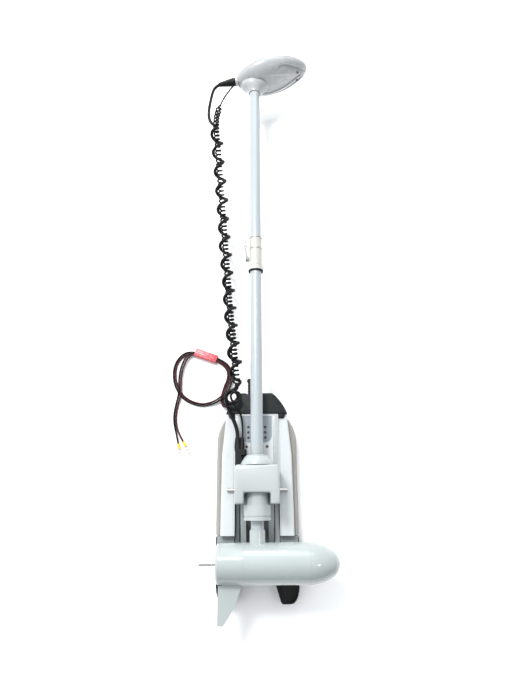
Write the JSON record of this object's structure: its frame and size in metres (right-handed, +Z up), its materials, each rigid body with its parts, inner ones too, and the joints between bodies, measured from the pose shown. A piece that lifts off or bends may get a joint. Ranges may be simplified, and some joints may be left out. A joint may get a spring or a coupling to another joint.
{
  "type": "trolling motor",
  "caption": "Bow-mount electric trolling motor stowed on its deck mount, with swing arms, steering housing, sliding shaft, control head and cords.",
  "frame": {"origin": "centre of the deck bolt pattern, on the underside of the deck plate", "axes": "+Y along the stowed shaft to the control head, +Z up from the deck, +X to the motor's nose side"},
  "size_m": [0.413, 1.5262, 0.185],
  "materials": {
    "white_plastic": "gloss",
    "grey_plastic": "satin",
    "black_plastic": "satin",
    "black_rubber": "matte",
    "alloy": "satin",
    "white_paint": "gloss",
    "steel": "satin",
    "shaft_composite": "gloss",
    "grey_plate": "satin",
    "collar_plastic": "gloss",
    "magnet": "matte",
    "board": "satin",
    "red_label": "satin",
    "yellow_sleeve": "satin",
    "bearing_bronze": "satin"
  },
  "bodies": {
    "mount_base": {"deck_plate": "alloy", "left_bracket": "alloy", "right_bracket": "alloy", "left_rail": "white_plastic", "right_rail": "white_plastic", "left_skirt": "grey_plastic", "right_skirt": "grey_plastic", "left_ramp": "black_plastic", "right_ramp": "black_plastic", "centre_cover": "white_plastic", "control_cover": "grey_plate", "cover_screws": "steel", "rear_cap": "black_plastic", "lead_grommet": "black_rubber", "shaft_rest": "black_rubber", "arm_axle": "steel", "latch_stands": "steel", "positive_lead": "black_rubber", "negative_lead": "black_rubber", "lead_tag": "red_label", "terminal_sleeves": "yellow_sleeve", "ring_terminals": "steel"},
    "release_lever": {"release_lever": "black_plastic"},
    "latch": {"latch_hook": "steel"},
    "swing_arms": {"left_arm": "white_paint", "right_arm": "white_paint"},
    "steering_housing": {"housing_shell": "white_plastic", "housing_cover": "white_plastic", "housing_collar": "white_plastic", "cross_pin": "steel", "sleeve_bushes": "bearing_bronze", "steering_motor": "steel", "cord_gland": "black_plastic"},
    "pinion": {"steering_pinion": "steel"},
    "steering_sleeve": {"drive_sleeve": "white_plastic"},
    "shaft": {"composite_shaft": "shaft_composite", "neck_tube": "white_paint", "motor_casing": "white_paint", "rear_bell": "white_paint", "nose_cone": "white_paint", "skeg": "white_paint", "motor_magnets": "magnet", "motor_bearings": "steel", "head_lower_shell": "white_plastic", "head_upper_shell": "white_plastic", "head_boss": "white_plastic", "head_board": "board", "head_screws": "steel", "strain_relief": "black_plastic", "head_cable": "black_rubber", "head_wire": "black_rubber", "curly_cord": "black_rubber", "wound_cable": "black_rubber", "gland_cable": "black_rubber", "gland_wire": "black_rubber"},
    "armature": {"prop_shaft": "steel", "armature": "magnet"},
    "depth_collar": {"collar_sleeve": "collar_plastic", "collar_bumper": "black_rubber"},
    "collar_lever": {"collar_lever": "grey_plate"}
  },
  "joints": [
    {"name": "arm_swing", "type": "hinge", "parent": "mount_base", "child": "swing_arms", "pos_m": [0, -0.2, 0.035], "axis": [1, 0, 0], "range_deg": [0, 143.6]},
    {"name": "housing_tilt", "type": "hinge", "parent": "swing_arms", "child": "steering_housing", "pos_m": [0, -0.063, 0.08], "axis": [1, 0, 0], "range_deg": [-54, 0]},
    {"name": "steering", "type": "hinge", "parent": "steering_housing", "child": "steering_sleeve", "pos_m": [0, 0, 0.12], "axis": [0, 1, 0], "range_deg": [-10, 10]},
    {"name": "pinion_spin", "type": "hinge", "parent": "steering_housing", "child": "pinion", "pos_m": [0.02457, -0.02, 0.13721], "axis": [0, 1, 0], "range_deg": [-24, 24]},
    {"name": "depth_slide", "type": "slide", "parent": "steering_sleeve", "child": "shaft", "axis": [0, -1, 0], "range_m": [0, 0.45], "deforming": ["head_cable", "head_wire", "curly_cord", "wound_cable", "gland_cable", "gland_wire"]},
    {"name": "collar_slide", "type": "slide", "parent": "shaft", "child": "depth_collar", "axis": [0, 1, 0], "range_m": [-0.47, 0.43]},
    {"name": "collar_clamp", "type": "hinge", "parent": "depth_collar", "child": "collar_lever", "pos_m": [-0.0205, 0.527, 0.12], "axis": [0, 0, 1], "range_deg": [0, 95]},
    {"name": "prop_spin", "type": "hinge", "parent": "shaft", "child": "armature", "pos_m": [0, -0.222, 0.12], "axis": [1, 0, 0], "continuous": true},
    {"name": "release_pull", "type": "hinge", "parent": "mount_base", "child": "release_lever", "pos_m": [-0.018, 0.158, 0.064], "axis": [1, 0, 0], "range_deg": [0, 15], "stiffness_Nm_per_rad": 0.6, "springref_deg": -11.46},
    {"name": "latch_turn", "type": "hinge", "parent": "mount_base", "child": "latch", "pos_m": [0, -0.05, 0.042], "axis": [1, 0, 0], "range_deg": [-25, 0]}
  ],
  "couplings": [
    {"joint": "housing_tilt", "follows": "arm_swing", "ratio": -0.3733},
    {"joint": "pinion_spin", "follows": "steering", "ratio": -2.3333},
    {"joint": "latch_turn", "follows": "release_pull", "ratio": -1.6}
  ]
}
